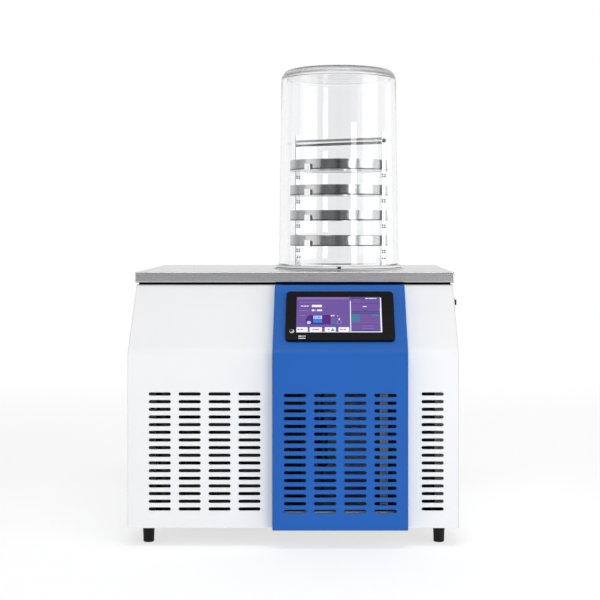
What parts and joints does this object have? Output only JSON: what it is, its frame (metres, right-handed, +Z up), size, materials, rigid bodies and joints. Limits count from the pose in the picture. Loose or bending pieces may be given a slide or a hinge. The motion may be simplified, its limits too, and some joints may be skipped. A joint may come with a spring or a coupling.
{
  "type": "freeze dryer",
  "caption": "Benchtop freeze dryer: slotted white cabinet with a proud blue centre cover and touch screen, steel worktop, cold trap, and a clear bell jar over a rack of round trays.",
  "frame": {"origin": "on the floor, under the middle of the machine's overall box", "axes": "+Z up, +X to the right of someone facing the front, +Y towards the back"},
  "size_m": [0.609, 0.622, 0.901],
  "materials": {
    "white_paint": "powder coat, satin",
    "blue_paint": "powder coat, satin",
    "stainless": "brushed",
    "tray_steel": "drawn",
    "polished_steel": "polished",
    "frame_steel": "black paint",
    "zinc_sheet": "zinc plated",
    "foot_rubber": "moulded",
    "bezel_plastic": "black, glossy",
    "screen_glass": "touch screen, lit",
    "housing_plastic": "moulded",
    "switch_plastic": "moulded",
    "clear_acrylic": "clear, polished",
    "silicone": "translucent",
    "foam": "cast polyurethane foam",
    "aluminium": "mill finish",
    "black_enamel": "black enamel",
    "fan_steel": "ground",
    "copper": "bare copper",
    "duct_plastic": "grey PVC",
    "module_plastic": "moulded",
    "gauge_metal": "anodised",
    "valve_brass": "nickel-free brass",
    "lever_paint": "red lever",
    "knob_plastic": "moulded"
  },
  "bodies": {
    "cabinet": {"front_panel_left": "white_paint", "front_panel_right": "white_paint", "side_panel_left": "white_paint", "side_panel_right": "white_paint", "back_panel": "white_paint", "base_pan": "white_paint", "front_cover": "blue_paint", "worktop": "stainless", "trap_rim": "stainless", "trap_bucket": "stainless", "vacuum_port": "stainless", "rack_base": "stainless", "rack_upright_left": "stainless", "rack_upright_right": "stainless", "tray_shelf_1": "stainless", "tray_shelf_2": "stainless", "tray_shelf_3": "stainless", "tray_shelf_4": "stainless", "tray_1": "tray_steel", "tray_2": "tray_steel", "tray_3": "tray_steel", "tray_4": "tray_steel", "rack_handle": "polished_steel", "corner_posts": "frame_steel", "top_rails": "frame_steel", "fan_shroud": "zinc_sheet", "electrical_plate": "zinc_sheet", "display_clamps": "zinc_sheet", "rubber_feet": "foot_rubber", "compressor_mounts": "foot_rubber", "display_bezel": "bezel_plastic", "display_screen": "screen_glass", "display_housing": "housing_plastic", "compressor_cover": "housing_plastic", "switch_frame": "switch_plastic", "power_inlet": "switch_plastic", "bell_jar": "clear_acrylic", "jar_gasket": "silicone", "insulation_jacket": "foam", "condenser_core": "aluminium", "condenser_fins": "aluminium", "compressor_shell": "black_enamel", "fan_motor": "black_enamel", "discharge_line": "copper", "suction_line": "copper", "liquid_line": "copper", "filter_drier": "copper", "drain_tube": "copper", "wiring_ducts": "duct_plastic", "power_supply": "module_plastic", "contactor": "module_plastic", "terminal_blocks": "module_plastic", "vacuum_sensor": "gauge_metal", "vent_valve": "valve_brass", "drain_valve": "valve_brass"},
    "rocker": {"switch_rocker": "switch_plastic"},
    "fan": {"fan_blades": "housing_plastic", "fan_shaft": "fan_steel"},
    "lever": {"drain_lever": "lever_paint"},
    "knob": {"vent_knob": "knob_plastic"}
  },
  "joints": [
    {"name": "switch_rock", "type": "hinge", "parent": "cabinet", "child": "rocker", "pos_m": [0.2975, -0.179, 0.436], "axis": [0, 0, 1], "range_deg": [0, 20]},
    {"name": "fan_spin", "type": "hinge", "parent": "cabinet", "child": "fan", "pos_m": [-0.11, -0.2, 0.187], "axis": [0, 1, 0], "continuous": true},
    {"name": "drain_turn", "type": "hinge", "parent": "cabinet", "child": "lever", "pos_m": [0.085, 0.287, 0.24], "axis": [0, 0, 1], "range_deg": [0, 90]},
    {"name": "vent_turn", "type": "hinge", "parent": "cabinet", "child": "knob", "pos_m": [0.19, 0.285, 0.43], "axis": [0, 1, 0], "range_deg": [0, 360]}
  ]
}
